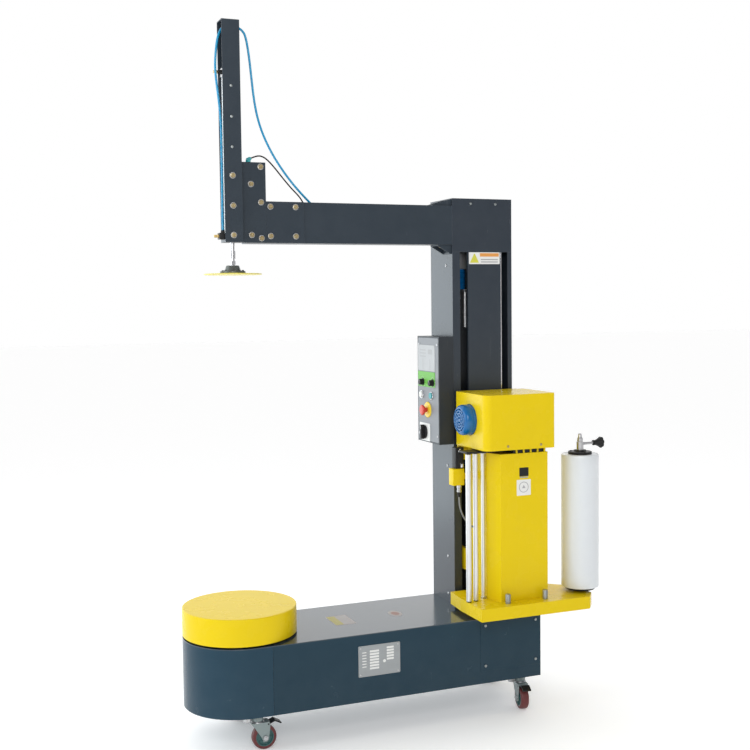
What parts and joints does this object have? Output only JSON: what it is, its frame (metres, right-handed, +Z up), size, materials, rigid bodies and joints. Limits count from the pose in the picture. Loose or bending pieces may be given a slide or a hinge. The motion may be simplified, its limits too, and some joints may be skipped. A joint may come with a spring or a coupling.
{
  "type": "turntable stretch wrapper",
  "caption": "Turntable stretch wrapper: round turntable on a low wheeled base, column with a film carriage, overhead arm and air press.",
  "frame": {"origin": "on the floor, under the middle of the machine's overall box", "axes": "+X from the turntable towards the column along the base, +Y towards the back, +Z up"},
  "size_m": [1.567, 0.51, 2.48],
  "materials": {
    "slate_paint": "satin powder coat",
    "dark_paint": "satin",
    "yellow_paint": "gloss",
    "cream_paint": "gloss",
    "motor_blue": "gloss enamel",
    "motor_grey": "satin",
    "bright_steel": "brushed",
    "zinc_steel": "yellow zinc",
    "polished_rod": "polished",
    "aluminium": "satin",
    "brass": "satin",
    "black_plastic": "matte",
    "white_plastic": "gloss",
    "teal_plastic": "gloss",
    "red_plastic": "gloss",
    "hose_blue": "gloss",
    "cable_black": "matte",
    "cable_grey": "matte",
    "film_plastic": "clear film in many layers",
    "roller_rubber": "ground rubber",
    "caster_fork_paint": "satin",
    "caster_red": "matte polyurethane"
  },
  "bodies": {
    "frame": {"base_nose": "slate_paint", "base_side_front": "slate_paint", "base_side_back": "slate_paint", "base_end_panel": "slate_paint", "base_access_panel": "slate_paint", "base_top_cover": "slate_paint", "base_floor": "slate_paint", "turntable_stand": "bright_steel", "turntable_gearmotor": "motor_grey", "column_side_panels": "slate_paint", "column_back_panel": "slate_paint", "column_centre_strip": "slate_paint", "column_head": "slate_paint", "guide_rods": "polished_rod", "lift_motor": "motor_blue", "arm_tube": "slate_paint", "arm_brackets": "zinc_steel", "zinc_bolts": "zinc_steel", "press_bracket": "slate_paint", "press_channel": "slate_paint", "press_cylinder": "aluminium", "press_plumbing": "hose_blue", "air_hose": "hose_blue", "sensor_cable": "cable_black", "control_box": "dark_paint", "panel_screws": "bright_steel", "caster_mounts": "caster_fork_paint"},
    "turntable": {"turntable_cap": "yellow_paint", "turntable_hub": "bright_steel"},
    "lift_screw": {"lift_screw": "bright_steel"},
    "carriage": {"carriage_frame": "yellow_paint", "carriage_cover": "yellow_paint", "motor_housing": "yellow_paint", "film_motor": "motor_blue", "carriage_tray": "yellow_paint", "photocell": "black_plastic", "sensor_lead": "cable_grey"},
    "guide_roller_outer": {"guide_roller_outer": "aluminium"},
    "guide_roller_inner": {"guide_roller_inner": "aluminium"},
    "stretch_roller_driven": {"stretch_roller_driven": "roller_rubber"},
    "stretch_roller_geared": {"stretch_roller_geared": "roller_rubber"},
    "film": {"film_roll": "film_plastic", "film_spindle": "black_plastic"},
    "film_knob": {"film_knob": "black_plastic"},
    "press": {"press_rod": "polished_rod", "press_pad": "cream_paint"},
    "speed_knob_turntable": {"speed_knob_turntable": "black_plastic"},
    "speed_knob_carriage": {"speed_knob_carriage": "black_plastic"},
    "push_button_start": {"push_button_start": "white_plastic"},
    "push_button_reset": {"push_button_reset": "teal_plastic"},
    "emergency_stop": {"emergency_stop": "red_plastic"},
    "main_switch": {"main_switch": "black_plastic"},
    "caster_front_left": {"caster_fork_front_left": "caster_fork_paint"},
    "caster_front_right": {"caster_fork_front_right": "caster_fork_paint"},
    "wheel_front_left": {"caster_wheel_front_left": "caster_red"},
    "wheel_front_right": {"caster_wheel_front_right": "caster_red"},
    "wheel_back_left": {"caster_wheel_back_left": "caster_red"},
    "wheel_back_right": {"caster_wheel_back_right": "caster_red"},
    "brake_front_left": {"brake_pedal_front_left": "black_plastic"},
    "brake_front_right": {"brake_pedal_front_right": "black_plastic"}
  },
  "joints": [
    {"name": "turntable_spin", "type": "hinge", "parent": "frame", "child": "turntable", "pos_m": [-0.5835, 0.033, 0.42], "axis": [0, 0, 1], "continuous": true},
    {"name": "carriage_lift", "type": "slide", "parent": "frame", "child": "carriage", "axis": [0, 0, 1], "range_m": [0, 0.65]},
    {"name": "lift_screw_turn", "type": "hinge", "parent": "frame", "child": "lift_screw", "pos_m": [0.3195, 0.135, 0.9], "axis": [0, 0, 1], "range_deg": [0, 5860]},
    {"name": "press_stroke", "type": "slide", "parent": "frame", "child": "press", "axis": [0, 0, -1], "range_m": [0, 0.45]},
    {"name": "guide_roller_outer_spin", "type": "hinge", "parent": "carriage", "child": "guide_roller_outer", "pos_m": [0.2285, -0.143, 0.7], "axis": [0, 0, 1], "continuous": true},
    {"name": "guide_roller_inner_spin", "type": "hinge", "parent": "carriage", "child": "guide_roller_inner", "pos_m": [0.2585, -0.139, 0.7], "axis": [0, 0, 1], "continuous": true},
    {"name": "stretch_roller_driven_spin", "type": "hinge", "parent": "carriage", "child": "stretch_roller_driven", "pos_m": [0.3815, -0.087, 0.7], "axis": [0, 0, 1], "continuous": true},
    {"name": "stretch_roller_geared_spin", "type": "hinge", "parent": "carriage", "child": "stretch_roller_geared", "pos_m": [0.4465, -0.087, 0.7], "axis": [0, 0, 1], "continuous": true},
    {"name": "film_spin", "type": "hinge", "parent": "carriage", "child": "film", "pos_m": [0.6875, -0.159, 0.7], "axis": [0, 0, 1], "continuous": true},
    {"name": "film_knob_turn", "type": "hinge", "parent": "film", "child": "film_knob", "pos_m": [0.7625, -0.159, 0.983], "axis": [1, 0, 0], "range_deg": [0, 360]},
    {"name": "speed_knob_turntable_turn", "type": "hinge", "parent": "frame", "child": "speed_knob_turntable", "pos_m": [0.2015, 0.183, 1.213], "axis": [1, 0, 0], "range_deg": [-135, 135]},
    {"name": "speed_knob_carriage_turn", "type": "hinge", "parent": "frame", "child": "speed_knob_carriage", "pos_m": [0.2015, 0.095, 1.213], "axis": [1, 0, 0], "range_deg": [-135, 135]},
    {"name": "push_button_start_press", "type": "slide", "parent": "frame", "child": "push_button_start", "axis": [1, 0, 0], "range_m": [0, 0.004], "stiffness_N_per_m": 400, "springref_m": -0.001},
    {"name": "push_button_reset_press", "type": "slide", "parent": "frame", "child": "push_button_reset", "axis": [1, 0, 0], "range_m": [0, 0.004], "stiffness_N_per_m": 400, "springref_m": -0.001},
    {"name": "emergency_stop_press", "type": "slide", "parent": "frame", "child": "emergency_stop", "axis": [1, 0, 0], "range_m": [0, 0.006]},
    {"name": "main_switch_turn", "type": "hinge", "parent": "frame", "child": "main_switch", "pos_m": [0.2015, 0.169, 1.021], "axis": [1, 0, 0], "range_deg": [0, 90]},
    {"name": "caster_front_left_swivel", "type": "hinge", "parent": "frame", "child": "caster_front_left", "pos_m": [-0.5685, -0.117, 0.1], "axis": [0, 0, 1], "continuous": true},
    {"name": "wheel_front_left_spin", "type": "hinge", "parent": "caster_front_left", "child": "wheel_front_left", "pos_m": [-0.5465, -0.117, 0.0425], "axis": [0, 1, 0], "continuous": true},
    {"name": "brake_front_left_press", "type": "hinge", "parent": "caster_front_left", "child": "brake_front_left", "pos_m": [-0.5345, -0.117, 0.0885], "axis": [0, 1, 0], "range_deg": [0, 12]},
    {"name": "caster_front_right_swivel", "type": "hinge", "parent": "frame", "child": "caster_front_right", "pos_m": [0.4515, -0.117, 0.1], "axis": [0, 0, 1], "continuous": true},
    {"name": "wheel_front_right_spin", "type": "hinge", "parent": "caster_front_right", "child": "wheel_front_right", "pos_m": [0.44768, -0.13867, 0.0425], "axis": [0.9848, -0.1736, 0], "continuous": true},
    {"name": "brake_front_right_press", "type": "hinge", "parent": "caster_front_right", "child": "brake_front_right", "pos_m": [0.4456, -0.15048, 0.0885], "axis": [0.9848, -0.1736, 0], "range_deg": [0, 12]},
    {"name": "wheel_back_left_spin", "type": "hinge", "parent": "frame", "child": "wheel_back_left", "pos_m": [-0.5465, 0.183, 0.0425], "axis": [0, 1, 0], "continuous": true},
    {"name": "wheel_back_right_spin", "type": "hinge", "parent": "frame", "child": "wheel_back_right", "pos_m": [0.4735, 0.183, 0.0425], "axis": [0, 1, 0], "continuous": true}
  ],
  "couplings": [
    {"joint": "lift_screw_turn", "follows": "carriage_lift", "rad_per_m": 157.08},
    {"joint": "stretch_roller_geared_spin", "follows": "stretch_roller_driven_spin", "ratio": -1.3504}
  ]
}
